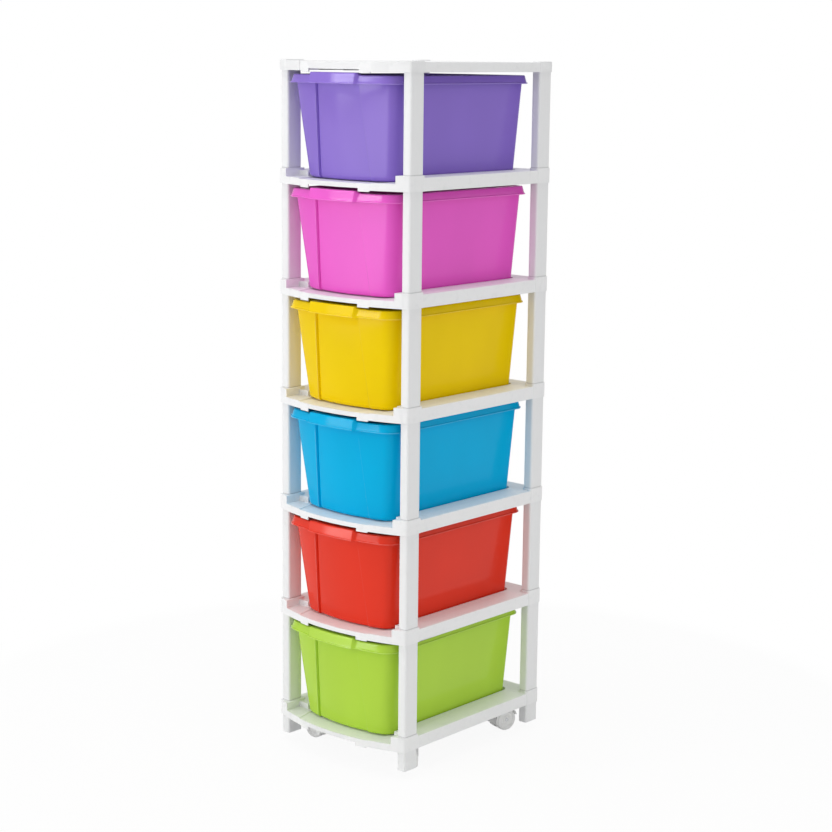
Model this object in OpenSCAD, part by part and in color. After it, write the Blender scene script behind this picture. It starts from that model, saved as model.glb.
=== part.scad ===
// Drawer tower: seven moulded shelf frames on hollow corner posts, six tapered
// drawers that slide out at the front, and four twin-wheel castors underneath.
// X runs across the front, Y from front to back, Z up from the floor.

/* [Tower] */
// Number of drawers, one on each tier
tiers = 6; // [6:1:6]
// Height from one shelf frame to the next
tier_pitch = 170; // [150:1:220]
// Width over the corner collars
frame_w = 268; // [250:1:330]
// Depth over the corner collars
frame_d = 330; // [300:1:420]
// How far the front edge bows out past the front corners
front_bow = 26; // [18:1:32]

/* [Shelf frame] */
// Height of the corner collars
collar_h = 23; // [20:0.5:30]
// Wall of the collars around the posts
collar_wall = 1.5; // [1.2:0.1:2.5]
// Corner radius of the collars
collar_round = 5; // [3:0.5:7]
// Extra thickness of the front collars towards the drawer
collar_cheek = 3; // [2:0.5:4]
// How much lower the skirts and the shoulders are than the collars
skirt_drop = 3.5; // [2:0.5:5]
// Thickness of the skirts, the fascia and the ribs
skirt_t = 2.2; // [1.8:0.1:3]
// Height of the deck top above the foot of the collars
deck_top = 11; // [10:0.5:13]
// Depth of the shallow tray in the middle of the deck
tray_depth = 1; // [0.5:0.5:1.5]
// How far the fascia hangs below the collars beside the handle
fascia_hang = 2; // [1:0.5:3]
// How far the fascia is cut up above the foot of the collars over the handle
handle_cut = 3; // [2.5:0.5:4]
// Height of the closed collars of the top frame
top_collar_h = 16; // [15:0.5:20]

/* [Posts] */
// Width of a post across the front
post_w = 16; // [14:1:20]
// Depth of a post from front to back
post_d = 29; // [24:1:34]
// Wall thickness of the hollow posts
post_wall = 2; // [1.6:0.1:3]
// Corner radius of the posts
post_round = 3.5; // [2.5:0.5:5]
// Length of post held in each half of a collar
socket_depth = 10; // [8:0.5:10]
// Gap between a post and its socket on each side
socket_gap = 0.1; // [0.05:0.05:0.15]

/* [Drawers] */
// Width of a drawer body at the bottom
drawer_bottom_w = 178; // [160:1:184]
// Width of a drawer body under its rim
drawer_top_w = 206; // [190:1:208]
// Wall thickness of a drawer
drawer_wall = 2.2; // [1.8:0.1:3]
// Height of the rim skirt
rim_h = 13; // [10:0.5:16]
// How far the rim stands out at its lower edge
rim_flare = 9; // [7:0.5:9]
// Width of the handle in the middle of the front rim
handle_w = 98; // [80:1:110]
// How far the handle stands out past the rim
handle_reach = 5; // [4:0.5:6]
// How much higher the handle is than the rim
handle_lift = 3.5; // [2:0.5:3.5]
// Width of the recessed panel in the drawer front at its top
panel_top_w = 88; // [80:1:96]
// Width of the recessed panel at its bottom
panel_bottom_w = 106; // [96:1:116]
// Depth of the recessed panel
panel_recess = 3; // [2:0.5:4]
// Drawer colours from the bottom tier to the top one
drawer_colours = ["#9ccb32", "#e23a2c", "#00a4de", "#f4cf10", "#ee5fd0", "#7f62c0"];

/* [Castors] */
// Radius of the castor wheels
wheel_r = 18; // [14:0.5:18.5]
// Width of each of the two wheels of a castor
wheel_w = 12; // [11:0.5:14]
// Distance from the swivel stem back to the axle
castor_trail = 8; // [6:0.5:10]
// Radius of the swivel stem
stem_r = 5; // [4:0.5:6]
// Radius of the wheel axle
axle_r = 3; // [2.5:0.1:3.5]
// Running gap on each side of the stem and the axle
running_gap = 0.05; // [0.03:0.01:0.08]
// Height of the corner feet above the floor
foot_clearance = 13; // [10:0.5:14]
// Length of the corner feet below the bottom collars
foot_drop = 31; // [29:0.5:34]

/* [Hidden] */
$fn = 48;

frame_colour = "#eef0ef";
castor_colour = "#d9dad8";
axle_colour = "#9a9c9e";

// Corner numbers and the side of the tower that each lies on, as [x, y] signs
FRONT_LEFT = 0;
FRONT_RIGHT = 1;
REAR_RIGHT = 2;
REAR_LEFT = 3;
corner_signs = [[-1, -1], [1, -1], [1, 1], [-1, 1]];

half_w = frame_w / 2;
half_d = frame_d / 2;
overlap = 0.5;
seat_gap = 0.1;

// Levels, measured up from the foot of a collar
web_t = collar_h - 2 * socket_depth;
plate_t = 2.5;
deck_under = deck_top - tray_depth - plate_t;
skirt_h = collar_h - skirt_drop;
top_deck = top_collar_h - 1.5;
bottom_level = foot_clearance + foot_drop;
function shelf_level(number) = bottom_level + (number - 1) * tier_pitch;

// Collars and posts
collar_w = post_w + 2 * collar_wall;
collar_d = post_d + 2 * collar_wall;
post_x = half_w - collar_w / 2;
post_y = half_d - collar_d / 2;
cheek_x = half_w - collar_w - collar_cheek;
between_collars = half_d - collar_d + overlap;
side_x = half_w - 1 - skirt_t / 2;
rear_y = half_d - 1 - skirt_t / 2;

// Bowed front edge, drawer track and tray
bow_r = (half_w * half_w + front_bow * front_bow) / (2 * front_bow);
bow_centre = half_d + front_bow - bow_r;
fascia_gap_x = handle_w / 2 + 2;
fascia_tab_end = fascia_gap_x + 19;
shoulder_y = half_d - 21;
track_half_w = drawer_bottom_w / 2 + 4;
track_round = 14;
tray_front_x = fascia_gap_x + 22;
tray_x = tray_front_x + 8;

// Drawers
drawer_lift = deck_top + seat_gap;
rim_clearance = 3.1;
drawer_h = tier_pitch - fascia_hang - rim_clearance - drawer_lift;
drawer_front = half_d + front_bow - rim_flare;
drawer_rear = half_d - collar_d;
track_rear_y = drawer_rear + 4;
drawer_bow = 17;
tray_turn_y = drawer_front - 27;
front_rake = 15;
rear_rake = 1;
front_corner_r = 22;
rear_corner_r = 10;
rim_top_flare = 5;
floor_t = 2.5;

// Castors
castor_inset = 1;
castor_x = track_half_w - castor_inset;
castor_y = half_d - 54;
castor_heading = [180, -45, 75, 135];
wheel_gap = 0.6;
web_w = 5;
hood_gap = 1;
hood_t = 2;
boss_r = 9;
boss_drop = 4;
neck_r = 8;
fork_top = bottom_level - boss_drop - seat_gap;
hood_r = wheel_r + hood_gap + hood_t;
hood_w = web_w + 2 * wheel_w + 2 * wheel_gap;

// The whole tower moves back by this much, so that its origin is under its centre
front_reach = drawer_front + rim_flare + handle_reach;
centre_shift = (front_reach - half_d) / 2;

// Points of an arc from one angle to another
function arc(centre, r, from, to, steps) =
    [for (i = [0 : steps])
        let (a = from + (to - from) * i / steps)
        centre + r * [cos(a), sin(a)]];

// Outline of a rectangle with round corners
function round_rectangle(w, d, r, steps = 4) = concat(
    arc([w / 2 - r, d / 2 - r], r, 0, 90, steps),
    arc([r - w / 2, d / 2 - r], r, 90, 180, steps),
    arc([r - w / 2, r - d / 2], r, 180, 270, steps),
    arc([w / 2 - r, r - d / 2], r, 270, 360, steps)
);

// Depth of the bowed front edge at a distance x from the middle
function bow_y(x, inset) =
    let (r = bow_r - inset)
    sqrt(r * r - x * x) + bow_centre;

// Outline of a strip of the fascia from x1 to x2, both on the same side or across
function fascia_strip(x1, x2, inset, t, steps) = concat(
    [for (i = [0 : steps]) let (x = x1 + (x2 - x1) * i / steps) [x, -bow_y(x, inset)]],
    [for (i = [steps : -1 : 0]) let (x = x1 + (x2 - x1) * i / steps) [x, -bow_y(x, inset + t)]]
);

// Outline of a front collar, whose face follows the bowed front edge
function front_collar(inset) =
    let (
        r = collar_round - inset,
        edge_r = bow_r - inset,
        turn = acos((half_w - collar_round) / (edge_r - r)),
        inner_x = cheek_x + inset,
        foot_y = half_d - collar_d + inset
    )
    concat(
        arc([half_w - collar_round, bow_centre + (edge_r - r) * sin(turn)], r, 0, turn, 4),
        arc([0, bow_centre], edge_r, turn, acos(inner_x / edge_r), 3),
        [[inner_x, foot_y]],
        arc([half_w - inset - 2, foot_y + 2], 2, 270, 360, 3)
    );

// Outline of a rear collar
function rear_collar(inset) =
    [for (p = round_rectangle(collar_w - 2 * inset, collar_d - 2 * inset, collar_round - inset))
        p + [post_x, post_y]];

// Angles along the bowed drawer front, close together where the panel and handle end
function front_angles(reach, panel_in, panel_out) = [
    -reach, -(2 * reach + panel_out) / 3, -(reach + 2 * panel_out) / 3, -panel_out,
    -panel_in, -panel_in * 2 / 3, -panel_in / 3, 0, panel_in / 3, panel_in * 2 / 3, panel_in,
    panel_out, (reach + 2 * panel_out) / 3, (2 * reach + panel_out) / 3, reach
];

// One level of a drawer, as points [x, y, z] that all levels have in the same order
function drawer_ring(z, grow, recess, lift, inner_w) =
    let (
        part = min(z / (drawer_h - rim_h), 1),
        w = (drawer_bottom_w + (drawer_top_w - drawer_bottom_w) * part) / 2 + grow,
        front = drawer_front - front_rake * (1 - part) + grow,
        rear = drawer_rear - rear_rake * (1 - part) + grow,
        r_front = max(front_corner_r + grow, 4),
        r_rear = max(rear_corner_r + grow, 3),
        face_r = (w * w + drawer_bow * drawer_bow) / (2 * drawer_bow),
        centre_y = face_r - front,
        reach = asin((w - r_front) / (face_r - r_front)),
        fillet_y = centre_y - (face_r - r_front) * cos(reach),
        panel_in = asin((inner_w / 2 - 1.5) / face_r),
        panel_out = asin(inner_w / 2 / face_r),
        angles = front_angles(reach, panel_in, panel_out)
    )
    concat(
        [for (a = angles)
            let (inside = abs(a) < (panel_in + panel_out) / 2 ? 1 : 0)
            [face_r * sin(a), centre_y - face_r * cos(a) + recess * inside, z + lift * inside]],
        [for (p = arc([w - r_front, fillet_y], r_front, reach - 75, 0, 5)) [p[0], p[1], z]],
        [for (p = arc([w - r_rear, rear - r_rear], r_rear, 0, 90, 4)) [p[0], p[1], z]],
        [for (p = arc([r_rear - w, rear - r_rear], r_rear, 90, 180, 4)) [p[0], p[1], z]],
        [for (p = arc([r_front - w, fillet_y], r_front, 180, 255 - reach, 5)) [p[0], p[1], z]]
    );

// A closed solid through levels that have the same number of points
module loft(rings) {
    count = len(rings[0]);
    levels = len(rings);
    points = [for (ring = rings) for (p = ring) p];
    sides = [for (level = [0 : levels - 2]) for (i = [0 : count - 1])
        let (
            j = (i + 1) % count,
            a = level * count + i,
            b = level * count + j,
            c = a + count,
            d = b + count
        )
        each [[a, c, d], [a, d, b]]];
    first = [for (i = [0 : count - 1]) i];
    last = [for (i = [count - 1 : -1 : 0]) (levels - 1) * count + i];
    polyhedron(points, concat(sides, [first], [last]), convexity = 6);
}

// Puts its children in a named corner, turned so that +X and +Y point outwards
module in_corner(corner) {
    signs = corner_signs[corner];
    mirror([signs[0] < 0 ? 1 : 0, 0, 0])
        mirror([0, signs[1] < 0 ? 1 : 0, 0])
            children();
}

module post_section(wall) {
    difference() {
        polygon(round_rectangle(post_w, post_d, post_round));
        polygon(round_rectangle(post_w - 2 * wall, post_d - 2 * wall, post_round - wall / 2));
    }
}

// A length of hollow post that starts at the given height
module post_length(corner, from, length) {
    signs = corner_signs[corner];
    color(frame_colour)
        translate([signs[0] * post_x, signs[1] * post_y + centre_shift, from])
            linear_extrude(length)
                post_section(post_wall);
}

module post(tier, corner) {
    from = shelf_level(tier) + socket_depth + web_t;
    post_length(corner, from, tier_pitch - web_t);
}

module foot(corner) {
    post_length(corner, foot_clearance, foot_drop + socket_depth);
}

// The four collars as solid blocks, with a bevelled top when the bevel is not zero
module collars(height, bevel) {
    for (corner = [FRONT_LEFT : REAR_LEFT])
        in_corner(corner) {
            is_front = corner_signs[corner][1] < 0;
            linear_extrude(height - bevel)
                polygon(is_front ? front_collar(0) : rear_collar(0));
            if (bevel > 0)
                translate([0, 0, height - bevel])
                    linear_extrude(bevel)
                        polygon(is_front ? front_collar(bevel) : rear_collar(bevel));
        }
}

// Holes for the post ends in all four collars, from one height upwards
module sockets(from, depth) {
    for (corner = [FRONT_LEFT : REAR_LEFT])
        in_corner(corner)
            translate([post_x, post_y, from])
                linear_extrude(depth)
                    polygon(round_rectangle(post_w + 2 * socket_gap, post_d + 2 * socket_gap, post_round));
}

module skirts(height) {
    for (side = [-1, 1])
        translate([side * side_x - skirt_t / 2, -between_collars, 0])
            cube([skirt_t, 2 * between_collars, height]);
    translate([collar_w - half_w - overlap, rear_y - skirt_t / 2, 0])
        cube([2 * (half_w - collar_w + overlap), skirt_t, height]);
}

// Plan of the deck, bowed at the front and notched around the collars
module deck_plan() {
    polygon(concat(
        [for (i = [0 : 24])
            let (x = (cheek_x + overlap) * (i / 12 - 1))
            [x, -bow_y(x, skirt_t / 2)]],
        [[cheek_x + overlap, rear_y], [-cheek_x - overlap, rear_y]]
    ));
    translate([-side_x, -between_collars])
        square([2 * side_x, 2 * between_collars]);
    translate([collar_w - half_w - overlap, 0])
        square([2 * (half_w - collar_w + overlap), rear_y]);
}

// Plan of the raised shoulders beside and behind the drawer
module shoulder_plan() {
    difference() {
        union() {
            translate([-side_x, -between_collars])
                square([2 * side_x, 2 * between_collars]);
            translate([-cheek_x - overlap, -shoulder_y])
                square([2 * (cheek_x + overlap), shoulder_y + overlap]);
            translate([collar_w - half_w - overlap, 0])
                square([2 * (half_w - collar_w + overlap), rear_y]);
        }
        polygon(concat(
            [[-track_half_w, -half_d], [track_half_w, -half_d]],
            arc([track_half_w - track_round, track_rear_y - track_round], track_round, 0, 90, 5),
            arc([track_round - track_half_w, track_rear_y - track_round], track_round, 90, 180, 5)
        ));
    }
}

// Shallow tray in the deck, a little narrower at the front edge
module tray() {
    translate([0, 0, deck_top - tray_depth])
        linear_extrude(tray_depth + 1)
            polygon(concat(
                [for (i = [0 : 16])
                    let (x = tray_front_x * (i / 8 - 1))
                    [x, -bow_y(x, -1)]],
                [[tray_x, -tray_turn_y], [tray_x, half_d / 2]],
                [[-tray_x, half_d / 2], [-tray_x, -tray_turn_y]]
            ));
}

// Channels that make the shoulders hollow from below
module shoulder_channels() {
    wall_x = track_half_w + skirt_t;
    channel_w = side_x - skirt_t / 2 - wall_x;
    channel_l = 2 * (between_collars - 2);
    roof = skirt_h - plate_t;
    for (side = [-1, 1])
        translate([side * (wall_x + channel_w / 2) - channel_w / 2, -channel_l / 2, -1])
            cube([channel_w, channel_l, roof + 1]);
    translate([-wall_x, track_rear_y + skirt_t, -1])
        cube([2 * wall_x, rear_y - skirt_t / 2 - track_rear_y - skirt_t, roof + 1]);
}

// Bowed front band with a cut above the handle and a tab hanging on each side of it
module fascia(height, recess) {
    end_x = cheek_x + overlap;
    translate([0, 0, handle_cut])
        linear_extrude(height - handle_cut)
            polygon(fascia_strip(-tray_front_x, tray_front_x, recess, skirt_t, 16));
    for (side = [-1, 1]) {
        linear_extrude(height)
            polygon(fascia_strip(side * (tray_front_x - overlap), side * end_x, 0, skirt_t, 6));
        linear_extrude(handle_cut + overlap)
            polygon(fascia_strip(side * fascia_gap_x, side * tray_front_x, recess, skirt_t, 4));
        translate([0, 0, -fascia_hang])
            linear_extrude(fascia_hang + overlap)
                polygon(fascia_strip(side * fascia_gap_x, side * fascia_tab_end, recess, skirt_t, 4));
    }
}

module ribs(plate_under) {
    rib_h = plate_under + overlap - 1;
    for (x = [-50, 0, 50])
        translate([x - skirt_t / 2, -half_d, 1])
            cube([skirt_t, frame_d - 2, rib_h]);
    for (y = [-50, 50])
        translate([-half_w + 2, y - skirt_t / 2, 1])
            cube([frame_w - 4, skirt_t, rib_h]);
}

// Deck between four collars, with shoulders that guide the drawer
module frame_moulding() {
    difference() {
        union() {
            difference() {
                union() {
                    translate([0, 0, deck_under])
                        linear_extrude(deck_top - deck_under)
                            deck_plan();
                    translate([0, 0, deck_under])
                        linear_extrude(skirt_h - deck_under)
                            shoulder_plan();
                    fascia(deck_top, 0);
                }
                tray();
                shoulder_channels();
            }
            collars(collar_h, 0);
            skirts(skirt_h);
            ribs(deck_under);
        }
        sockets(-1, socket_depth + 1);
        sockets(socket_depth + web_t, socket_depth + 1);
    }
}

module shelf(number) {
    color(frame_colour)
        translate([0, centre_shift, shelf_level(number)])
            frame_moulding();
}

// The lowest frame also has a bored boss for each castor stem
module bottom_shelf() {
    color(frame_colour)
        translate([0, centre_shift, bottom_level])
            difference() {
                union() {
                    frame_moulding();
                    for (signs = corner_signs)
                        translate([signs[0] * castor_x, signs[1] * castor_y, -boss_drop])
                            cylinder(r = boss_r, h = boss_drop + deck_under + overlap);
                }
                for (signs = corner_signs)
                    translate([signs[0] * castor_x, signs[1] * castor_y, -boss_drop - 1])
                        cylinder(r = stem_r + running_gap, h = boss_drop + deck_under + 1);
            }
}

// Lid on the top posts, flat and closed, with its middle front part set back
module top_shelf() {
    color(frame_colour)
        translate([0, centre_shift, shelf_level(tiers + 1)])
            difference() {
                union() {
                    collars(top_collar_h, 1);
                    skirts(top_deck);
                    translate([0, 0, top_deck - plate_t])
                        linear_extrude(plate_t)
                            deck_plan();
                    fascia(top_deck, 1);
                    ribs(top_deck - plate_t);
                }
                sockets(-1, socket_depth + 1);
            }
}

// Tapered body, out-turned rim with a slanted skirt, and a handle raised from the rim
module drawer(tier) {
    rim_foot = drawer_h - rim_h;
    rim_under = drawer_h - 3;
    low_w = panel_bottom_w;
    high_w = panel_top_w;
    rings = [
        drawer_ring(0, -6, panel_recess, 0, low_w),
        drawer_ring(0.9, -2.8, panel_recess, 0, low_w),
        drawer_ring(2.8, -0.9, panel_recess, 0, low_w),
        drawer_ring(6, 0, panel_recess, 0, low_w),
        drawer_ring(rim_foot, 0, panel_recess, 0, high_w),
        drawer_ring(rim_under, 0, 0, 0, handle_w),
        drawer_ring(rim_under + 0.2, rim_top_flare - 2, -handle_reach, 0, handle_w),
        drawer_ring(rim_foot, rim_flare - 2, -handle_reach, 0, handle_w),
        drawer_ring(rim_foot, rim_flare, -handle_reach, 0, handle_w),
        drawer_ring(drawer_h - 1.5, rim_top_flare, -handle_reach, handle_lift, handle_w),
        drawer_ring(drawer_h, rim_top_flare - 1.5, -handle_reach, handle_lift, handle_w),
        drawer_ring(drawer_h, -drawer_wall, 0, handle_lift, handle_w),
        drawer_ring(drawer_h - 4, -drawer_wall, 0, 0, handle_w),
        drawer_ring(rim_foot, -drawer_wall, panel_recess, 0, high_w),
        drawer_ring(8, -drawer_wall, panel_recess, 0, low_w),
        drawer_ring(floor_t, -drawer_wall - 5, panel_recess, 0, low_w)
    ];
    color(drawer_colours[tier - 1])
        translate([0, centre_shift, shelf_level(tier) + drawer_lift])
            loft(rings);
}

// Puts a castor part at its corner, with the swivel axis on Z and the trail along +X
module at_castor(corner) {
    signs = corner_signs[corner];
    translate([signs[0] * castor_x, signs[1] * castor_y + centre_shift, 0])
        rotate([0, 0, castor_heading[corner]])
            children();
}

// Moves to the wheel axis, which then runs along local Z
module on_axle() {
    translate([castor_trail, 0, wheel_r])
        rotate([90, 0, 0])
            children();
}

// Hood over both wheels with a web between them, a neck and a stem
module castor_hood() {
    on_axle()
        difference() {
            cylinder(r = hood_r, h = hood_w, center = true);
            for (side = [-1, 1])
                translate([0, 0, side * (web_w + hood_w) / 2])
                    cylinder(r = wheel_r + hood_gap, h = hood_w, center = true);
            cylinder(r = axle_r, h = 2 * hood_w, center = true);
        }
}

module castor_fork(corner) {
    stem_top = bottom_level + deck_under - seat_gap;
    neck_foot = 2 * wheel_r + hood_gap;
    hub_r = axle_r + 3;
    cut_w = 2 * hood_w;
    color(castor_colour)
        at_castor(corner) {
            translate([0, 0, neck_foot])
                cylinder(r = neck_r, h = fork_top - neck_foot);
            translate([0, 0, fork_top - 1])
                cylinder(r = stem_r, h = stem_top - fork_top + 1);
            difference() {
                castor_hood();
                translate([-cut_w, -cut_w / 2, wheel_r - hub_r - cut_w])
                    cube([2 * cut_w, cut_w, cut_w]);
                translate([castor_trail + hub_r, -cut_w / 2, wheel_r + hub_r - cut_w])
                    cube([cut_w, cut_w, cut_w]);
            }
        }
}

module castor_axle(corner) {
    color(axle_colour)
        at_castor(corner)
            on_axle()
                cylinder(r = axle_r, h = hood_w, center = true);
}

// Wheel with rounded tread edges; side is 1 or -1 along the axle
module castor_wheel(corner, side) {
    edge = 2.5;
    color(castor_colour)
        at_castor(corner)
            on_axle()
                translate([0, 0, side * (web_w / 2 + wheel_gap / 2 + wheel_w / 2)])
                    rotate([0, side > 0 ? 0 : 180, 0])
                        rotate_extrude()
                            polygon(concat(
                                [[axle_r + running_gap, -wheel_w / 2], [wheel_r - 1, -wheel_w / 2]],
                                [[wheel_r, 1 - wheel_w / 2]],
                                arc([wheel_r - edge, wheel_w / 2 - edge], edge, 0, 90, 4),
                                [[wheel_r - 5, wheel_w / 2], [wheel_r - 6, wheel_w / 2 - 1]],
                                [[axle_r + 4, wheel_w / 2 - 1], [axle_r + 3, wheel_w / 2]],
                                [[axle_r + running_gap, wheel_w / 2]]
                            ));
}

bottom_shelf();
shelf(2);  // shelf_2
shelf(3);  // shelf_3
shelf(4);  // shelf_4
shelf(5);  // shelf_5
shelf(6);  // shelf_6
top_shelf();
post(1, FRONT_LEFT);  // post_1_front_left
post(1, FRONT_RIGHT);  // post_1_front_right
post(1, REAR_RIGHT);  // post_1_rear_right
post(1, REAR_LEFT);  // post_1_rear_left
post(2, FRONT_LEFT);  // post_2_front_left
post(2, FRONT_RIGHT);  // post_2_front_right
post(2, REAR_RIGHT);  // post_2_rear_right
post(2, REAR_LEFT);  // post_2_rear_left
post(3, FRONT_LEFT);  // post_3_front_left
post(3, FRONT_RIGHT);  // post_3_front_right
post(3, REAR_RIGHT);  // post_3_rear_right
post(3, REAR_LEFT);  // post_3_rear_left
post(4, FRONT_LEFT);  // post_4_front_left
post(4, FRONT_RIGHT);  // post_4_front_right
post(4, REAR_RIGHT);  // post_4_rear_right
post(4, REAR_LEFT);  // post_4_rear_left
post(5, FRONT_LEFT);  // post_5_front_left
post(5, FRONT_RIGHT);  // post_5_front_right
post(5, REAR_RIGHT);  // post_5_rear_right
post(5, REAR_LEFT);  // post_5_rear_left
post(6, FRONT_LEFT);  // post_6_front_left
post(6, FRONT_RIGHT);  // post_6_front_right
post(6, REAR_RIGHT);  // post_6_rear_right
post(6, REAR_LEFT);  // post_6_rear_left
foot(FRONT_LEFT);  // foot_front_left
foot(FRONT_RIGHT);  // foot_front_right
foot(REAR_RIGHT);  // foot_rear_right
foot(REAR_LEFT);  // foot_rear_left
drawer(1);  // drawer_1
drawer(2);  // drawer_2
drawer(3);  // drawer_3
drawer(4);  // drawer_4
drawer(5);  // drawer_5
drawer(6);  // drawer_6
castor_fork(FRONT_LEFT);  // castor_fork_front_left
castor_fork(FRONT_RIGHT);  // castor_fork_front_right
castor_fork(REAR_RIGHT);  // castor_fork_rear_right
castor_fork(REAR_LEFT);  // castor_fork_rear_left
castor_axle(FRONT_LEFT);  // castor_axle_front_left
castor_axle(FRONT_RIGHT);  // castor_axle_front_right
castor_axle(REAR_RIGHT);  // castor_axle_rear_right
castor_axle(REAR_LEFT);  // castor_axle_rear_left
castor_wheel(FRONT_LEFT, -1);  // inner_wheel_front_left
castor_wheel(FRONT_RIGHT, -1);  // inner_wheel_front_right
castor_wheel(REAR_RIGHT, -1);  // inner_wheel_rear_right
castor_wheel(REAR_LEFT, -1);  // inner_wheel_rear_left
castor_wheel(FRONT_LEFT, 1);  // outer_wheel_front_left
castor_wheel(FRONT_RIGHT, 1);  // outer_wheel_front_right
castor_wheel(REAR_RIGHT, 1);  // outer_wheel_rear_right
castor_wheel(REAR_LEFT, 1);  // outer_wheel_rear_left
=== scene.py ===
"""Looks of a tall drawer tower: white moulded frame, six tapered drawers and four castors."""

import logging
import math
from dataclasses import dataclass, field, replace
from enum import Enum
from itertools import pairwise

import bpy
import numpy as np
from mathutils import Matrix, Vector


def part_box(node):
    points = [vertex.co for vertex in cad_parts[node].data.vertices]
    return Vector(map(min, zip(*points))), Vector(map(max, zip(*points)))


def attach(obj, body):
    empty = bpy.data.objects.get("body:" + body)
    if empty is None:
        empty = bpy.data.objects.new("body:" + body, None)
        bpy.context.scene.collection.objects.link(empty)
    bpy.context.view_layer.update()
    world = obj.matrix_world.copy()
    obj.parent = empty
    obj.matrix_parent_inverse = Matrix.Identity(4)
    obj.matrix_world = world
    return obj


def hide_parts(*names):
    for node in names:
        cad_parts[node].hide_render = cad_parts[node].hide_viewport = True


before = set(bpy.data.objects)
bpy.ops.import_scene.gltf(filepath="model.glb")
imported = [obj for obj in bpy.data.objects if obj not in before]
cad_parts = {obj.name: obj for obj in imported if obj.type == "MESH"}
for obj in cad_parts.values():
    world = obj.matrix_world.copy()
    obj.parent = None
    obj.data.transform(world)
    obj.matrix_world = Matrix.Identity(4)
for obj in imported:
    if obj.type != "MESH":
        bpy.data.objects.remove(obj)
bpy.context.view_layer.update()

MM = 0.001
QUARTER_TURN = math.pi / 2
NORMAL_WEIGHT = 80
CLEAR_SHEEN = 0.08
FULL_SHEEN = 0.18
LOG = logging.getLogger("drawer_tower")

Rgb = tuple[float, float, float]
Colour = tuple[float, float, float, float]
Place = tuple[float, float, float]
Pair = tuple[float, float]
Value = bpy.types.NodeSocket | float | Colour

EVEN: Place = (1.0, 1.0, 1.0)
PURE_WHITE: Colour = (1.0, 1.0, 1.0, 1.0)


class Corner(Enum):
    """The four corners of the tower."""

    FRONT_LEFT = "front_left"
    FRONT_RIGHT = "front_right"
    REAR_RIGHT = "rear_right"
    REAR_LEFT = "rear_left"


class WheelSide(Enum):
    """The two wheels of a castor."""

    INNER = "inner"
    OUTER = "outer"


class Shade(Enum):
    """Plastic colours of the drawers, as linear red, green and blue."""

    LIME = (0.462, 0.716, 0.060)
    RED = (0.810, 0.038, 0.014)
    BLUE = (0.000, 0.455, 0.800)
    YELLOW = (0.935, 0.655, 0.000)
    PINK = (0.880, 0.118, 0.635)
    PURPLE = (0.276, 0.170, 0.650)

    @property
    def sheen(self) -> float:
        """How strongly the skin mirrors: less on yellow and blue, so that they stay clear.

        Returns:
            The shader's specular level.
        """
        return CLEAR_SHEEN if min(self.value) == 0.0 else FULL_SHEEN


# ---------------------------------------------------------------- shader groups


@dataclass(frozen=True)
class Socket:
    """One named input or output of a shader group."""

    name: str
    kind: str
    value: float | Colour | None = None


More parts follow.
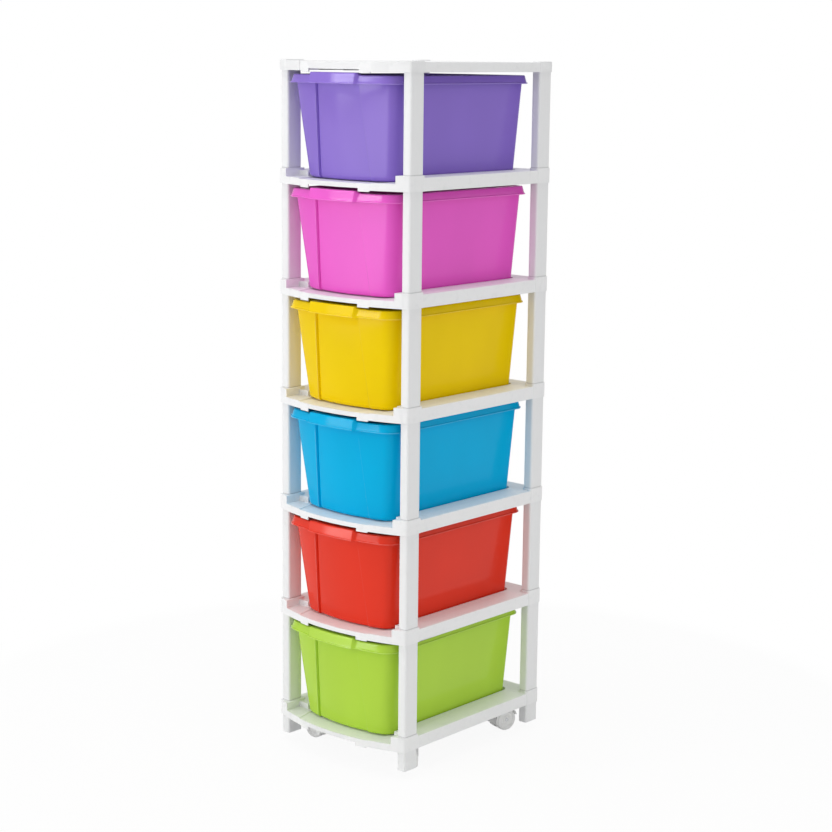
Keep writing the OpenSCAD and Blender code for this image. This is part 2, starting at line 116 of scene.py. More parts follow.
class NodeSheet:
    """A node tree with short ways to add and join nodes."""

    def __init__(self, tree: bpy.types.NodeTree) -> None:
        """Keeps the tree that nodes are added to.

        Args:
            tree: The node tree.
        """
        self.tree = tree

    @classmethod
    def cleared(cls, owner: bpy.types.ID) -> "NodeSheet":
        """Turns on the nodes of a material, world or lamp and empties them.

        Args:
            owner: The material, world or lamp.

        Returns:
            Its empty node tree.
        """
        owner.use_nodes = True
        owner.node_tree.nodes.clear()
        return cls(owner.node_tree)

    def add(self, kind: str, **settings: object) -> bpy.types.Node:
        """Adds a node and sets its properties.

        Args:
            kind: Blender's type name of the node.
            settings: Property names and their values.

        Returns:
            The new node.
        """
        node = self.tree.nodes.new(kind)
        for name, value in settings.items():
            setattr(node, name, value)
        return node

    def join(self, source: bpy.types.NodeSocket, target: bpy.types.NodeSocket) -> None:
        """Links one socket to another.

        Args:
            source: The output that the link comes from.
            target: The input that it goes to.
        """
        self.tree.links.new(source, target)

    def feed(self, value: Value, target: bpy.types.NodeSocket) -> None:
        """Gives an input a socket's value or a plain one.

        Args:
            value: A socket, a number or a colour.
            target: The input.
        """
        if isinstance(value, bpy.types.NodeSocket):
            self.join(value, target)
        else:
            target.default_value = value

    def math(
        self, operation: str, first: Value, second: Value, clamp: bool = False
    ) -> bpy.types.NodeSocket:
        """Adds a maths node.

        Args:
            operation: Name of the operation.
            first: A socket or a number.
            second: A socket or a number.
            clamp: Whether the result is held between 0 and 1.

        Returns:
            The node's output socket.
        """
        node = self.add("ShaderNodeMath", operation=operation, use_clamp=clamp)
        for value, target in zip((first, second), node.inputs):
            self.feed(value, target)
        return node.outputs[0]

    def remap(self, value: bpy.types.NodeSocket, low: float, high: float) -> bpy.types.NodeSocket:
        """Turns a range of values into a smooth 0 to 1.

        Args:
            value: The socket with the values.
            low: Value that becomes 0.
            high: Value that becomes 1.

        Returns:
            The socket with the mask.
        """
        node = self.add("ShaderNodeMapRange", interpolation_type="SMOOTHSTEP", clamp=True)
        for name, part in (("Value", value), ("From Min", low), ("From Max", high)):
            self.feed(part, node.inputs[name])
        return node.outputs["Result"]

    def mix(self, mask: Value, first: Value, second: Value) -> bpy.types.NodeSocket:
        """Mixes two colours.

        Args:
            mask: Socket that is 0 for the first colour and 1 for the second.
            first: A socket or a colour.
            second: A socket or a colour.

        Returns:
            The socket with the mixed colour.
        """
        node = self.add("ShaderNodeMix", data_type="RGBA")
        for name, kind, value in (
            ("Factor", "VALUE", mask), ("A", "RGBA", first), ("B", "RGBA", second)
        ):
            self.feed(value, next(s for s in node.inputs if s.name == name and s.type == kind))
        return next(s for s in node.outputs if s.type == "RGBA")

    def place(self) -> bpy.types.NodeSocket:
        """Adds the place on the object.

        Returns:
            The socket with the place, in metres.
        """
        return self.add("ShaderNodeTexCoord").outputs["Object"]

    def along(self, place: bpy.types.NodeSocket, axis: str) -> bpy.types.NodeSocket:
        """Takes one coordinate of a place.

        Args:
            place: Socket with the place.
            axis: X, Y or Z.

        Returns:
            The socket with the coordinate.
        """
        split = self.add("ShaderNodeSeparateXYZ")
        self.join(place, split.inputs["Vector"])
        return split.outputs[axis]

    def noise(
        self, place: bpy.types.NodeSocket, scale: Value, detail: float, stretch: Place = EVEN
    ) -> bpy.types.NodeSocket:
        """Adds a noise texture over a stretched place.

        Args:
            place: Socket with the place.
            scale: A socket or a number.
            detail: Octaves of the noise.
            stretch: Scale of the place along X, Y and Z.

        Returns:
            The socket with the noise value.
        """
        mapping = self.add("ShaderNodeMapping")
        mapping.inputs["Scale"].default_value = stretch
        self.join(place, mapping.inputs["Vector"])
        texture = self.add("ShaderNodeTexNoise")
        self.feed(detail, texture.inputs["Detail"])
        self.feed(scale, texture.inputs["Scale"])
        self.join(mapping.outputs["Vector"], texture.inputs["Vector"])
        return texture.outputs["Fac"]

    def blend(
        self,
        mask: bpy.types.NodeSocket,
        first: bpy.types.NodeSocket,
        second: bpy.types.NodeSocket,
    ) -> bpy.types.NodeSocket:
        """Mixes two shaders.

        Args:
            mask: Socket that is 0 for the first shader and 1 for the second.
            first: Output of the first shader.
            second: Output of the second shader.

        Returns:
            The socket with the mixed shader.
        """
        node = self.add("ShaderNodeMixShader")
        for source, target in zip((mask, first, second), node.inputs):
            self.join(source, target)
        return node.outputs[0]

    def show(self, shader: bpy.types.NodeSocket, kind: str = "ShaderNodeOutputMaterial") -> None:
        """Sends a shader to the tree's output.

        Args:
            shader: Output of the shader.
            kind: Blender's type name of the output node.
        """
        self.join(shader, self.add(kind).inputs["Surface"])


class Effect:
    """A shader group that is built once and placed in each material that uses it."""

    name: str = ""
    inputs: tuple[Socket, ...] = ()
    outputs: tuple[Socket, ...] = ()

    def group(self) -> bpy.types.NodeTree:
        """Finds the group, and builds it when it is asked for the first time.

        Returns:
            The group.
        """
        found = bpy.data.node_groups.get(self.name)
        if found is not None:
            return found
        tree = bpy.data.node_groups.new(self.name, "ShaderNodeTree")
        for direction, sockets in (("INPUT", self.inputs), ("OUTPUT", self.outputs)):
            for item in sockets:
                made = tree.interface.new_socket(
                    name=item.name, in_out=direction, socket_type=item.kind
                )
                if item.value is not None:
                    made.default_value = item.value
        sheet = NodeSheet(tree)
        self.wire(sheet, sheet.add("NodeGroupInput"), sheet.add("NodeGroupOutput"))
        return tree

    def wire(self, sheet: NodeSheet, start: bpy.types.Node, end: bpy.types.Node) -> None:
        """Builds the inside of the group.

        Args:
            sheet: The group's node tree.
            start: Its input node.
            end: Its output node.
        """
        raise NotImplementedError

    def placed(self, sheet: NodeSheet, values: dict[str, float | Colour]) -> bpy.types.Node:
        """Places the group in a material.

        Args:
            sheet: The material's node tree.
            values: Values of its inputs by name.

        Returns:
            The group's node.
        """
        node = sheet.add("ShaderNodeGroup")
        node.node_tree = self.group()
        for name, value in values.items():
            node.inputs[name].default_value = value
        return node


class FlowTone(Effect):
    """Faint cloudy tone that molten plastic leaves as it fills a mould."""

    name = "flow_tone"
    inputs = (
        Socket("Colour", "NodeSocketColor", (0.8, 0.8, 0.8, 1.0)),
        Socket("Deep Colour", "NodeSocketColor", (0.7, 0.7, 0.7, 1.0)),
        Socket("Scale", "NodeSocketFloat", 9.0),
    )
    outputs = (Socket("Colour", "NodeSocketColor"),)
    octaves: float = 2.0
    drawn_out: Place = (1.0, 1.0, 0.45)
    clouds: Pair = (0.32, 0.72)

    def wire(self, sheet: NodeSheet, start: bpy.types.Node, end: bpy.types.Node) -> None:
        """Mixes the two tones by a broad noise that is drawn out upwards.

        Args:
            sheet: The group's node tree.
            start: Its input node.
            end: Its output node.
        """
        cloud = sheet.noise(sheet.place(), start.outputs["Scale"], self.octaves, self.drawn_out)
        mask = sheet.remap(cloud, *self.clouds)
        toned = sheet.mix(mask, start.outputs["Deep Colour"], start.outputs["Colour"])
        sheet.join(toned, end.inputs["Colour"])


class EdgeLight(Effect):
    """Paler colour along outer edges: a painted highlight, partly slight rubbing."""

    name = "edge_light"
    inputs = (
        Socket("Colour", "NodeSocketColor", (0.8, 0.8, 0.8, 1.0)),
        Socket("Edge Highlight Colour", "NodeSocketColor", (0.9, 0.9, 0.9, 1.0)),
        Socket("Strength", "NodeSocketFloat", 0.3),
    )
    outputs = (Socket("Colour", "NodeSocketColor"),)
    edge: Pair = (0.53, 0.60)
    highlight_rub_scale: float = 90.0
    highlight_rub_octaves: float = 2.0
    highlight_rubbed: Pair = (0.15, 0.50)

    def wire(self, sheet: NodeSheet, start: bpy.types.Node, end: bpy.types.Node) -> None:
        """Finds the edges by how sharply the surface turns, paints the highlight there and breaks
        it up a little.

        Args:
            sheet: The group's node tree.
            start: Its input node.
            end: Its output node.
        """
        # Painted highlight: sharp edges get a paler colour, with a little rubbing mixed in.
        turn = sheet.add("ShaderNodeNewGeometry").outputs["Pointiness"]
        highlight_rub = sheet.noise(sheet.place(), self.highlight_rub_scale, self.highlight_rub_octaves)
        broken = sheet.math(
            "MULTIPLY", sheet.remap(turn, *self.edge), sheet.remap(highlight_rub, *self.highlight_rubbed)
        )
        mask = sheet.math("MULTIPLY", broken, start.outputs["Strength"], clamp=True)
        lit = sheet.mix(mask, start.outputs["Colour"], start.outputs["Edge Highlight Colour"])
        sheet.join(lit, end.inputs["Colour"])


class MouldGrain(Effect):
    """Fine skin of a moulded surface: a shallow grain and an uneven gloss."""

    name = "mould_grain"
    inputs = (
        Socket("Roughness", "NodeSocketFloat", 0.3),
        Socket("Spread", "NodeSocketFloat", 0.06),
        Socket("Scale", "NodeSocketFloat", 1500.0),
    )
    outputs = (Socket("Roughness", "NodeSocketFloat"), Socket("Height", "NodeSocketFloat"))
    grain_octaves: float = 2.0
    grain_share: float = 0.12
    wave_scale: float = 14.0
    wave_drawn_out: Place = (1.0, 1.0, 0.5)
    patch_scale: float = 38.0
    patch_octaves: float = 4.0
    patch_middle: float = 0.5

    def wire(self, sheet: NodeSheet, start: bpy.types.Node, end: bpy.types.Node) -> None:
        """Takes fine grain and broad waves as height, and patches as gloss.

        Args:
            sheet: The group's node tree.
            start: Its input node.
            end: Its output node.
        """
        place = sheet.place()
        grain = sheet.noise(place, start.outputs["Scale"], self.grain_octaves)
        waves = sheet.noise(place, self.wave_scale, self.grain_octaves, self.wave_drawn_out)
        patches = sheet.noise(place, self.patch_scale, self.patch_octaves)
        swing = sheet.math("SUBTRACT", patches, self.patch_middle)
        spread = sheet.math("MULTIPLY", swing, start.outputs["Spread"])
        gloss = sheet.math("ADD", start.outputs["Roughness"], spread, clamp=True)
        height = sheet.math("ADD", sheet.math("MULTIPLY", grain, self.grain_share), waves)
        sheet.join(gloss, end.inputs["Roughness"])
        sheet.join(height, end.inputs["Height"])


class FloorDust(Effect):
    """Greyish dust that gathers low down, close to the floor."""

    name = "floor_dust"
    inputs = (
        Socket("Colour", "NodeSocketColor", (0.8, 0.8, 0.8, 1.0)),
        Socket("Dust Colour", "NodeSocketColor", (0.5, 0.48, 0.45, 1.0)),
        Socket("Strength", "NodeSocketFloat", 0.15),
    )
    outputs = (Socket("Colour", "NodeSocketColor"),)
    heights: Pair = (0.040, 0.002)
    patch_scale: float = 120.0
    patch_octaves: float = 4.0
    patchy: Pair = (0.35, 0.70)

    def wire(self, sheet: NodeSheet, start: bpy.types.Node, end: bpy.types.Node) -> None:
        """Fades a patchy dust out over the lowest 4 cm.

        Args:
            sheet: The group's node tree.
            start: Its input node.
            end: Its output node.
        """
        place = sheet.place()
        low = sheet.remap(sheet.along(place, "Z"), *self.heights)
        cloud = sheet.noise(place, self.patch_scale, self.patch_octaves)
        patchy = sheet.math("MULTIPLY", low, sheet.remap(cloud, *self.patchy))
        mask = sheet.math("MULTIPLY", patchy, start.outputs["Strength"], clamp=True)
        dusty = sheet.mix(mask, start.outputs["Colour"], start.outputs["Dust Colour"])
        sheet.join(dusty, end.inputs["Colour"])


class SeamShade(Effect):
    """Painted shade: a thin dark line where a post goes down into its collar."""

    name = "seam_shade"
    inputs = (
        Socket("Colour", "NodeSocketColor", (0.8, 0.8, 0.8, 1.0)),
        Socket("Low", "NodeSocketFloat", 0.05),
        Socket("Pitch", "NodeSocketFloat", 0.17),
    )
    outputs = (Socket("Colour", "NodeSocketColor"),)
    fade: Pair = (0.0022, 0.0006)
    darkness: float = 0.40
    shadow: Colour = (0.30, 0.30, 0.30, 1.0)

    def wire(self, sheet: NodeSheet, start: bpy.types.Node, end: bpy.types.Node) -> None:
        """Darkens the lowest millimetre or two of the post that can be seen, as painted shade.

        Args:
            sheet: The group's node tree.
            start: Its input node.
            end: Its output node.
        """
        # Painted shade where the post goes down into its collar.
        height = sheet.along(sheet.place(), "Z")
        rise = sheet.math("SUBTRACT", height, start.outputs["Low"])
        over_collar = sheet.math("FLOORED_MODULO", rise, start.outputs["Pitch"])
        mask = sheet.math("MULTIPLY", sheet.remap(over_collar, *self.fade), self.darkness)
        sheet.join(sheet.mix(mask, start.outputs["Colour"], self.shadow), end.inputs["Colour"])


# ------------------------------------------------------------------- finishes


def tone(rgb: Rgb, factor: float = 1.0) -> Colour:
    """Makes a colour with an alpha.

    Args:
        rgb: Linear red, green and blue.
        factor: What each of them is multiplied by.

    Returns:
        The colour, held between 0 and 1.
    """
    red, green, blue = (min(max(part * factor, 0.0), 1.0) for part in rgb)
    return (red, green, blue, 1.0)


def towards_white(rgb: Rgb, share: float) -> Colour:
    """Makes a paler colour.

    Args:
        rgb: Linear red, green and blue.
        share: How much white is mixed in, from 0 to 1.

    Returns:
        The paler colour.
    """
    red, green, blue = (part + (1.0 - part) * share for part in rgb)
    return (red, green, blue, 1.0)


@dataclass(frozen=True)
class Finish:
    """What every finish has: its name, linear colour and roughness."""

    name: str
    rgb: Rgb
    roughness: float

    def material(self) -> bpy.types.Material:
        """Builds the material.

        Returns:
            The new material.
        """
        made = bpy.data.materials.new(self.name)
        sheet = NodeSheet.cleared(made)
        shader = sheet.add("ShaderNodeBsdfPrincipled")
        sheet.show(shader.outputs["BSDF"])
        self.wire(sheet, shader)
        return made

    def wire(self, sheet: NodeSheet, shader: bpy.types.Node) -> None:
        """Joins what is special about the finish to its shader.

        Args:
            sheet: The material's node tree.
            shader: Its main shader.
        """
        raise NotImplementedError


@dataclass(frozen=True)
class MouldedPlastic(Finish):
    """A moulded polypropylene finish.

    Attributes:
        deep_share: How bright the deeper of its two tones is.
        flow_scale: Scale of the cloudy tone.
        edge_highlight_share: How much white the painted edge highlight has.
        edge_highlight_strength: How strongly the edges take that painted highlight, which is
            partly slight rubbing.
        spread: How much the roughness varies.
        bump: Strength of the grain.
        bump_depth: Depth of the grain in metres.
        ior: Index of refraction.
        specular: The shader's specular level.
        dust: How dusty the plastic is near the floor.
        painted_seams: Height of the lowest collar and the distance between collars, in metres,
            where painted seam shade goes.
    """

    deep_share: float = 0.96
    flow_scale: float = 9.0
    edge_highlight_share: float = 0.25
    edge_highlight_strength: float = 0.35
    spread: float = 0.05
    bump: float = 0.05
    bump_depth: float = 0.0002
    ior: float = 1.49
    specular: float = 0.5
    dust: float = 0.0
    painted_seams: tuple[float, ...] = ()

    def wire(self, sheet: NodeSheet, shader: bpy.types.Node) -> None:
        """Joins flow tone, painted edge highlight, dust, painted seam shade and grain to the
        shader.

        Args:
            sheet: The material's node tree.
            shader: Its main shader.
        """
        shader.inputs["IOR"].default_value = self.ior
        shader.inputs["Specular IOR Level"].default_value = self.specular

        deep, edge = tone(self.rgb, self.deep_share), towards_white(self.rgb, self.edge_highlight_share)
        flow = FlowTone().placed(
            sheet, {"Colour": tone(self.rgb), "Deep Colour": deep, "Scale": self.flow_scale}
        )
        # Painted edge highlight, partly slight rubbing.
        effects = [
            EdgeLight().placed(sheet, {"Edge Highlight Colour": edge, "Strength": self.edge_highlight_strength})
        ]
        if self.dust > 0.0:
            effects.append(FloorDust().placed(sheet, {"Strength": self.dust}))
        # Painted shade where posts go down into their collars.
        if self.painted_seams:
            low, pitch = self.painted_seams
            effects.append(SeamShade().placed(sheet, {"Low": low, "Pitch": pitch}))
        colour = flow.outputs["Colour"]
        for effect in effects:
            sheet.join(colour, effect.inputs["Colour"])
            colour = effect.outputs["Colour"]
        sheet.join(colour, shader.inputs["Base Color"])

        grain = MouldGrain().placed(sheet, {"Roughness": self.roughness, "Spread": self.spread})
        sheet.join(grain.outputs["Roughness"], shader.inputs["Roughness"])
        bump = sheet.add("ShaderNodeBump")
        bump.inputs["Strength"].default_value = self.bump
        bump.inputs["Distance"].default_value = self.bump_depth
        sheet.join(grain.outputs["Height"], bump.inputs["Height"])
        sheet.join(bump.outputs["Normal"], shader.inputs["Normal"])


@dataclass(frozen=True)
class DrawnSteel(Finish):
    """Bright drawn steel with a fine uneven tone and gloss.

    Attributes:
        deep_share: How bright the deeper of its two tones is.
        tone_scale: Scale of the tone.
        spread: How much the roughness varies.
        grain_scale: Scale of the grain.
    """

    deep_share: float = 0.85
    tone_scale: float = 220.0
    spread: float = 0.12
    grain_scale: float = 900.0

    def wire(self, sheet: NodeSheet, shader: bpy.types.Node) -> None:
        """Joins tone and gloss to the shader.

        Args:
            sheet: The material's node tree.
            shader: Its main shader.
        """
        shader.inputs["Metallic"].default_value = 1.0
        deep = tone(self.rgb, self.deep_share)
        flow = FlowTone().placed(
            sheet, {"Colour": tone(self.rgb), "Deep Colour": deep, "Scale": self.tone_scale}
        )
        sheet.join(flow.outputs["Colour"], shader.inputs["Base Color"])
        grain = MouldGrain().placed(
            sheet, {"Roughness": self.roughness, "Spread": self.spread, "Scale": self.grain_scale}
        )
        sheet.join(grain.outputs["Roughness"], shader.inputs["Roughness"])


WHITE = MouldedPlastic(
    "white_frame_plastic", (0.835, 0.84, 0.845), roughness=0.50, deep_share=0.985,
    edge_highlight_share=0.8, edge_highlight_strength=0.35, spread=0.04, bump=0.02, specular=0.20,
)
CASTOR = MouldedPlastic(
    "castor_plastic", (0.93, 0.93, 0.92), roughness=0.42, bump=0.04, dust=0.12
)
STEEL = DrawnSteel("axle_steel", (0.60, 0.61, 0.62), roughness=0.28)


# --------------------------------------------------------------- frame and castors


def add_object(name: str, data: bpy.types.ID) -> bpy.types.Object:
    """Makes an object and puts it in the scene.

    Args:
        name: Its name.
        data: Its mesh, lamp or camera.

    Returns:
        The object.
    """
    made = bpy.data.objects.new(name, data)
    bpy.context.scene.collection.objects.link(made)
    return made


def even_light(piece: bpy.types.Object, keep_sharp: bool) -> None:
    """Weighs a piece's normals by the size of its faces, so that large ones look flat.

    Args:
        piece: The piece.
        keep_sharp: Whether edges marked as sharp stay sharp.
    """
    smooth = piece.modifiers.new("even_light", "WEIGHTED_NORMAL")
    smooth.keep_sharp = keep_sharp
    smooth.weight = NORMAL_WEIGHT


@dataclass(frozen=True)
class CadDressing:
    """Softens the edges of a CAD piece and gives it a finish, without changing its mesh.

    Attributes:
        edge_radius: Radius of the softened edges, in millimetres.
        segments: Faces across a softened edge.
        corner_angle: Angle in degrees from which an edge is softened.
        weld_distance: Points closer than this many millimetres are joined.
        flat_angle: Faces that meet within this many degrees are joined.
    """

    edge_radius: float = 0.9
    segments: int = 2
    corner_angle: float = 32.0
    weld_distance: float = 0.01
    flat_angle: float = 0.4

    def dress(self, node: str, material: bpy.types.Material) -> bpy.types.Object:
        """Dresses one CAD node.

        Args:
            node: Name of the CAD node.
            material: The finish that it gets.

        Returns:
            The dressed object.
        """
        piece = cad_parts[node]
        for slot in piece.material_slots:
            slot.material = material
        weld = piece.modifiers.new("weld", "WELD")
        weld.merge_threshold = self.weld_distance * MM
        flat = piece.modifiers.new("join_flat_faces", "DECIMATE")
        flat.decimate_type = "DISSOLVE"
        flat.angle_limit = math.radians(self.flat_angle)
        soft = piece.modifiers.new("soft_edges", "BEVEL")
        soft.width = self.edge_radius * MM
        soft.segments = self.segments
        soft.limit_method = "ANGLE"
        soft.angle_limit = math.radians(self.corner_angle)
        soft.use_clamp_overlap = True
        soft.miter_outer = "MITER_ARC"
        even_light(piece, keep_sharp=False)
        return piece


@dataclass
class WhiteFrame:
    """Seven moulded frames, the posts between them and the corner feet."""

    tiers: int = 6
    finish: MouldedPlastic = WHITE
    dressing: CadDressing = field(default_factory=CadDressing)

    def nodes(self) -> list[str]:
        """Lists the CAD nodes of the white frame without its posts.

        Returns:
            The names of the shelves and feet.
        """
        shelves = [f"shelf_{number}" for number in range(2, self.tiers + 1)]
        feet = [f"foot_{corner.value}" for corner in Corner]
        return ["bottom_shelf", *shelves, "top_shelf", *feet]

    def posts(self) -> list[str]:
        """Lists the CAD nodes of the posts.

        Returns:
            The names of the posts, from the lowest tier up.
        """
        tiers = range(1, self.tiers + 1)
        return [f"post_{tier}_{corner.value}" for tier in tiers for corner in Corner]

    def build(self) -> list[bpy.types.Object]:
        """Dresses the whole white frame.

        Returns:
            The dressed pieces.
        """
        plain = self.finish.material()
        collar_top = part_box("bottom_shelf")[1][2]
        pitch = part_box("shelf_3")[1][2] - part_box("shelf_2")[1][2]
        # The posts get painted shade where each goes down into its collar.
        seamed = replace(
            self.finish, name="white_post_plastic", painted_seams=(collar_top, pitch)
        ).material()
        return [
            *(self.dressing.dress(node, plain) for node in self.nodes()),
            *(self.dressing.dress(node, seamed) for node in self.posts()),
        ]


@dataclass
class Castors:
    """Forks, axles and twin wheels under the lowest frame."""

    plastic: MouldedPlastic = CASTOR
    steel: DrawnSteel = STEEL
    dressing: CadDressing = field(default_factory=lambda: CadDressing(edge_radius=0.4))

    def build(self) -> list[bpy.types.Object]:
        """Dresses every castor.

        Returns:
            The dressed pieces.
        """
        plastic, steel = self.plastic.material(), self.steel.material()
        pieces = []
        for corner in Corner:
            pieces.append(self.dressing.dress(f"castor_fork_{corner.value}", plastic))
            pieces.append(self.dressing.dress(f"castor_axle_{corner.value}", steel))
            for side in WheelSide:
                wheel = f"{side.value}_wheel_{corner.value}"
                pieces.append(self.dressing.dress(wheel, plastic))
        return pieces


# ------------------------------------------------------------------------ drawers


def after(start: float, stop: float, steps: int) -> np.ndarray:
    """Divides a range evenly and leaves out its start.

    Args:
        start: The value that is left out.
        stop: The last value.
        steps: How many values there are.

    Returns:
        The values.
    """
    return np.linspace(start, stop, steps + 1)[1:]


def turned(centre: Pair, radius: float, angles: Pair, steps: int, z: float) -> np.ndarray:
    """Makes the points of a rounded corner.

    Args:
        centre: Middle of the arc.
        radius: Its radius.
        angles: Its first and last angle in degrees.
        steps: Number of steps along it.
        z: Its height.

    Returns:
        The points along the arc.
    """
    turns = np.radians(np.linspace(*angles, steps + 1))
    x = centre[0] + radius * np.cos(turns)
    y = centre[1] + radius * np.sin(turns)
    return np.stack([x, y, np.full_like(x, z)], axis=1)


@dataclass(frozen=True)
class Level:
    """One level of a drawer's wall, in millimetres.

    Attributes:
        z: Height over the drawer's foot.
        grow: How far it lies outside the plain body.
        step: How far the middle of the front stands back, or forward where negative.
        lift: How far that middle is raised.
        inner_width: Width of the middle with the step at each side of it.
        slope: Width of each step.
        groove: Depth of the groove beside the left step.
    """

    z: float
    grow: float
    step: float
    lift: float
    inner_width: float
    slope: float
    groove: float = 0.0


@dataclass
class Drawer:
    """A tapered drawer with a bowed front, recessed panel, rim skirt and raised handle.

    All sizes are in millimetres. The skirt profile gives heights over the skirt's foot and
    distances from its outer face, and the lip profile gives depths under the rim's top and
    how much the wall is thinner there.
    """

    tier: int
    shade: Shade
    slot: str
    # body
    bottom_width: float = 178.0
    top_width: float = 206.0
    height: float = 153.8
    front: float = 182.0
    rear: float = 133.0
    bow: float = 17.0
    front_rake: float = 15.0
    rear_rake: float = 1.0
    front_corner: float = 22.0
    front_corner_least: float = 4.0
    front_corner_skip: float = 7.5
    rear_corner: float = 10.0
    rear_corner_least: float = 3.0
    wall: float = 2.2
    floor: float = 2.5
    foot_round: float = 6.0
    floor_round: float = 5.0
    floor_round_top: float = 8.0
    # rim and its skirt
    rim_height: float = 13.0
    rim_flare: float = 9.0
    rim_top_flare: float = 5.0
    rim_round: float = 2.4
    skirt_root: float = 3.0
    skirt_inner_root: float = 2.8
    skirt_wall: float = 2.0
    skirt_profile: tuple[Pair, ...] = (
        (0.3, -2.0), (0.0, -1.7), (0.0, -0.5), (0.15, -0.15), (0.6, 0.0),
        (1.6, -0.1), (2.0, -0.4), (2.2, -1.3), (2.6, -1.6),
    )
    skirt_shares: tuple[float, ...] = (0.3, 0.6, 0.85)
    lip_profile: tuple[Pair, ...] = ((0.0, 0.8), (0.25, 0.25), (0.8, 0.0))
    # handle and front panel
    handle_width: float = 98.0
    handle_reach: float = 5.0
    handle_lift: float = 3.5
    handle_slope: float = 4.0
    handle_root: float = 4.0
    panel_top_width: float = 88.0
    panel_bottom_width: float = 106.0
    panel_recess: float = 3.0
    panel_slope: float = 1.6
    right_slope: float = 2.6
    groove_depth: float = 1.5
    groove_width: float = 2.0
    # fineness of the mesh
    face_steps: tuple[int, ...] = (9, 6, 6, 8)
    front_corner_steps: int = 11
    rear_corner_steps: int = 8
    foot_steps: int = 7
    panel_steps: int = 8
    rim_steps: int = 5
    inner_steps: int = 6
    floor_steps: int = 5
    sharp_angle: float = 50.0
    # place in the tower
    centre_shift: float = 15.5
    first_level: float = 44.0
    tier_pitch: float = 170.0
    seat: float = 11.1

    @property
    def rim_foot(self) -> float:
        """Height of the rim skirt's foot.

        Returns:
            The height over the drawer's foot.
        """
        return self.height - self.rim_height

    def face(self, level: Level, radius: float, centre_y: float, reach: float) -> np.ndarray:
        """Works out the bowed front of one level, with its stepped middle.

        Args:
            level: The level.
            radius: Radius of the bow.
            centre_y: Where the centre of the bow lies.
            reach: Angle from the middle of the front to a corner, in radians.

        Returns:
            The points from left to right, in millimetres from the drawer's foot.
        """
        half_width = level.inner_width / 2
        outer = math.asin(half_width / radius)
        marks, halves = [], []
        for slope in (level.slope, max(level.slope, self.right_slope)):
            inner = math.asin((half_width - slope) / radius)
            flat = math.asin((half_width - slope - self.groove_width) / radius)
            spans = pairwise((0.0, flat, inner, outer, reach))
            marks.append((inner, flat))
            halves.append(np.concatenate([
                after(*span, steps) for span, steps in zip(spans, self.face_steps)
            ]))
        angles = np.concatenate([-halves[0][::-1], [0.0], halves[1]])
        (inner, flat), (right_inner, _) = marks
        step_width = np.where(angles < 0.0, outer - inner, outer - right_inner)
        inside = np.clip((outer - np.abs(angles)) / step_width, 0.0, 1.0)
        dip = np.clip((-angles - flat) / (inner - flat), 0.0, 1.0) * inside
        recess = level.step * inside + level.groove * dip * dip
        return np.stack([
            radius * np.sin(angles),
            centre_y - radius * np.cos(angles) + recess,
            level.z + level.lift * inside,
        ], axis=1)

    def ring(self, level: Level) -> np.ndarray:
        """Works out one level of the wall.

        Args:
            level: Its height and how it differs from the plain body.

        Returns:
            The points of the level, front first, in millimetres from the drawer's foot.
        """
        part = min(level.z / self.rim_foot, 1.0)
        taper = (self.top_width - self.bottom_width) * part
        half = (self.bottom_width + taper) / 2 + level.grow
        front = self.front - self.front_rake * (1 - part) + level.grow
        rear = self.rear - self.rear_rake * (1 - part) + level.grow
        r_front = max(self.front_corner + level.grow, self.front_corner_least)
        r_rear = max(self.rear_corner + level.grow, self.rear_corner_least)
        radius = (half * half + self.bow * self.bow) / (2 * self.bow)
        centre_y = radius - front
        reach = math.asin((half - r_front) / (radius - r_front))
        fillet_y = centre_y - (radius - r_front) * math.cos(reach)
        turn = math.degrees(reach)
        first, last = turn - 90.0 + self.front_corner_skip, 270.0 - turn - self.front_corner_skip
        front_x, rear_x, rear_y = half - r_front, half - r_rear, rear - r_rear
        front_steps, rear_steps = self.front_corner_steps, self.rear_corner_steps
        return np.concatenate([
            self.face(level, radius, centre_y, reach),
            turned((front_x, fillet_y), r_front, (first, 0.0), front_steps, level.z),
            turned((rear_x, rear_y), r_rear, (0.0, 90.0), rear_steps, level.z),
            turned((-rear_x, rear_y), r_rear, (90.0, 180.0), rear_steps, level.z),
            turned((-front_x, fillet_y), r_front, (180.0, last), front_steps, level.z),
        ])

    def panelled(self, z: float, grow: float, share: float, groove: float = 0.0) -> Level:
        """Makes a level with the recessed panel.

        Args:
            z: Its height.
            grow: How far it lies outside the plain body.
            share: How far up the panel it is, from 0 to 1.
            groove: Depth of the groove beside the panel's left step.

        Returns:
            The level.
        """
        low, high = self.panel_bottom_width, self.panel_top_width
        width = low + (high - low) * share
        return Level(z, grow, self.panel_recess, 0.0, width, self.panel_slope, groove)

    def handled(self, z: float, grow: float, step: float = 0.0, lift: float = 0.0) -> Level:
        """Makes a level with the handle.

        Args:
            z: Its height.
            grow: How far it lies outside the plain body.
            step: How far the handle stands back, or forward where negative.
            lift: How far the handle is raised.

        Returns:
            The level.
        """
        return Level(z, grow, step, lift, self.handle_width, self.handle_slope)

    def outside(self) -> list[Level]:
        """Goes from the foot of the drawer up to its rim skirt.

        Returns:
            The levels on the way.
        """
        levels = []
        for turn in np.linspace(0.0, QUARTER_TURN, self.foot_steps + 1):
            z = self.foot_round * (1 - math.cos(turn))
            grow = -self.foot_round * (1 - math.sin(turn))
            levels.append(self.panelled(z, grow, 0.0, self.groove_depth))
        for share in after(0.0, 1.0, self.panel_steps):
            z = self.foot_round + (self.rim_foot - self.foot_round) * share
            levels.append(self.panelled(z, 0.0, share, self.groove_depth))
        levels.append(self.handled(self.height - self.skirt_root, 0.0))
        return levels

